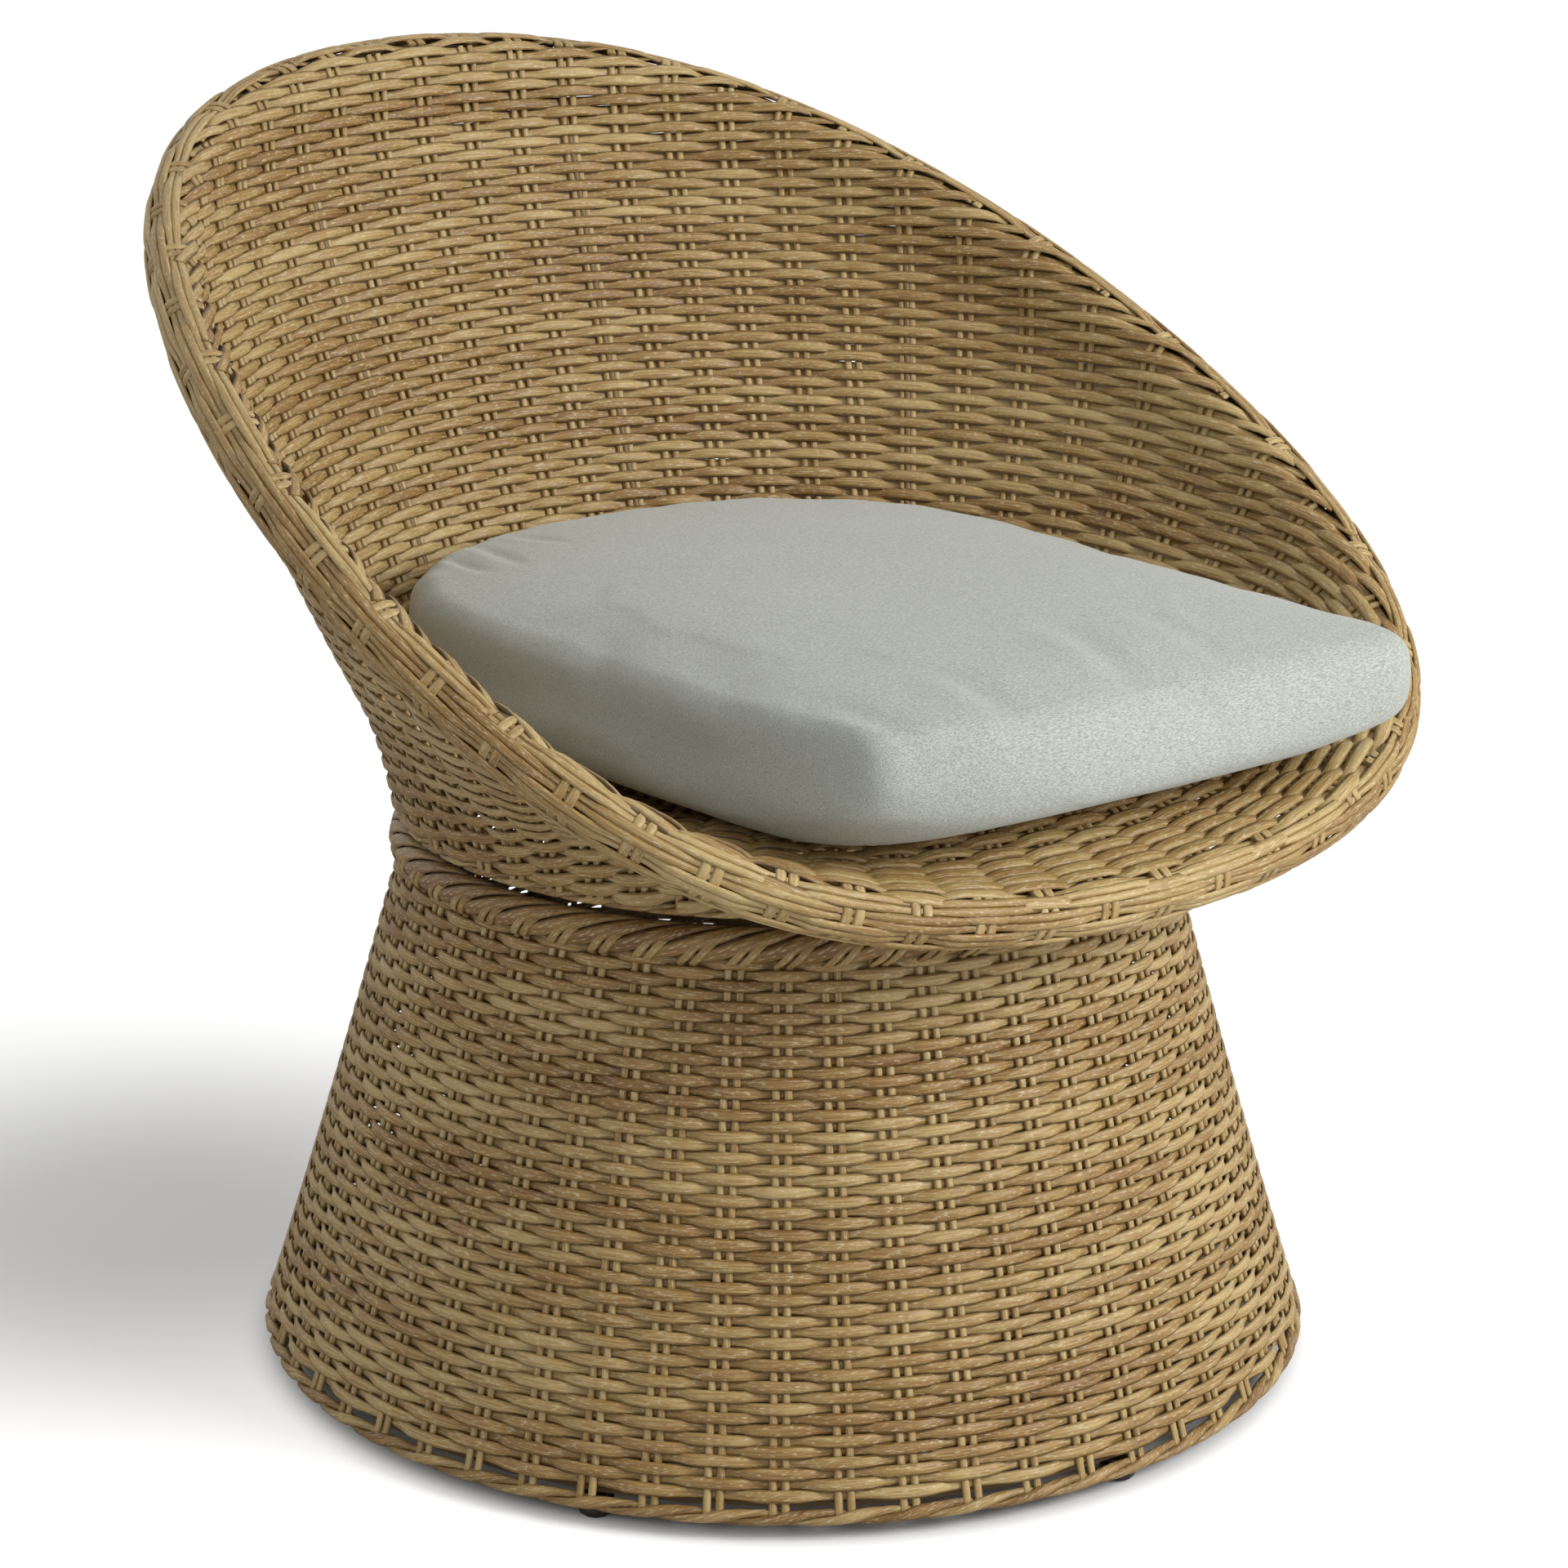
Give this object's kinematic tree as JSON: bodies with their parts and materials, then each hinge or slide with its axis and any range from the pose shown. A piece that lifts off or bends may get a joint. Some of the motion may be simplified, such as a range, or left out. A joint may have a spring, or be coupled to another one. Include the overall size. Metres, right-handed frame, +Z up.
{
  "type": "swivel papasan chair",
  "caption": "Low swivel tub chair: a leaning woven bowl with a loose seat cushion turns on a flared woven drum base over a welded tube frame.",
  "frame": {"origin": "on the floor under the middle of the chair's bounding box; the swivel axis stands 35.3 mm in front of it, towards -Y", "axes": "+Z up, the chair faces -Y, +X towards the sitter's left"},
  "size_m": [0.7286, 0.7483, 0.7743],
  "materials": {
    "woven_cane": "woven resin cane, mottled straw and light brown, satin",
    "frame_paint": "dark brown powder coat on steel tube",
    "glide_plastic": "moulded dark brown plastic, satin",
    "zinc_plate": "zinc plated pressed steel",
    "ball_steel": "hardened steel balls in a plain steel retainer",
    "cushion_fabric": "light grey woven outdoor fabric, matt, fine melange",
    "cushion_foam": "open cell foam",
    "zip_tape": "grey moulded zip and tape"
  },
  "bodies": {
    "base": {"base_skin": "woven_cane", "base_top_border": "woven_cane", "base_bottom_border": "woven_cane", "base_bottom_ring": "frame_paint", "base_top_ring": "frame_paint", "base_upright_1": "frame_paint", "base_upright_2": "frame_paint", "base_upright_3": "frame_paint", "base_upright_4": "frame_paint", "base_upright_5": "frame_paint", "base_upright_6": "frame_paint", "glide_1": "glide_plastic", "glide_2": "glide_plastic", "glide_3": "glide_plastic", "glide_4": "glide_plastic", "glide_5": "glide_plastic", "glide_6": "glide_plastic", "base_bar_left": "frame_paint", "base_bar_right": "frame_paint", "turntable_lower_plate": "zinc_plate", "turntable_rivet": "zinc_plate", "lower_plate_screw_1": "zinc_plate", "lower_plate_screw_2": "zinc_plate", "lower_plate_screw_3": "zinc_plate", "lower_plate_screw_4": "zinc_plate"},
    "ball_ring": {"turntable_ball_ring": "ball_steel"},
    "seat": {"turntable_upper_plate": "zinc_plate", "upper_plate_screw_1": "zinc_plate", "upper_plate_screw_2": "zinc_plate", "upper_plate_screw_3": "zinc_plate", "upper_plate_screw_4": "zinc_plate", "bowl_bottom_ring": "frame_paint", "bowl_bottom_border": "woven_cane", "bowl_skin": "woven_cane", "bowl_rod_1": "frame_paint", "bowl_rod_2": "frame_paint", "bowl_rod_3": "frame_paint", "bowl_rod_4": "frame_paint", "bowl_rod_5": "frame_paint", "bowl_rod_6": "frame_paint", "bowl_rod_7": "frame_paint", "bowl_rod_8": "frame_paint", "bowl_rod_9": "frame_paint", "rim_hoop": "frame_paint", "rim_wrap": "woven_cane", "seat_bar_left": "frame_paint", "seat_bar_right": "frame_paint", "deck_ring": "frame_paint", "deck_bar_1": "frame_paint", "deck_bar_2": "frame_paint", "deck_bar_3": "frame_paint", "deck_bar_4": "frame_paint", "seat_deck": "woven_cane"},
    "cushion": {"cushion_cover": "cushion_fabric", "cushion_core": "cushion_foam", "cushion_zip": "zip_tape"}
  },
  "joints": [
    {"name": "seat_swivel", "type": "hinge", "parent": "base", "child": "seat", "pos_m": [0, -0.03533, 0.3428], "axis": [0, 0, 1], "continuous": true},
    {"name": "ball_ring_orbit", "type": "hinge", "parent": "base", "child": "ball_ring", "pos_m": [0, -0.03533, 0.3428], "axis": [0, 0, 1], "continuous": true},
    {"name": "cushion_lift", "type": "slide", "parent": "seat", "child": "cushion", "axis": [0, 0, 1], "range_m": [0, 0.25]}
  ],
  "couplings": [
    {"joint": "ball_ring_orbit", "follows": "seat_swivel", "ratio": 0.5}
  ]
}
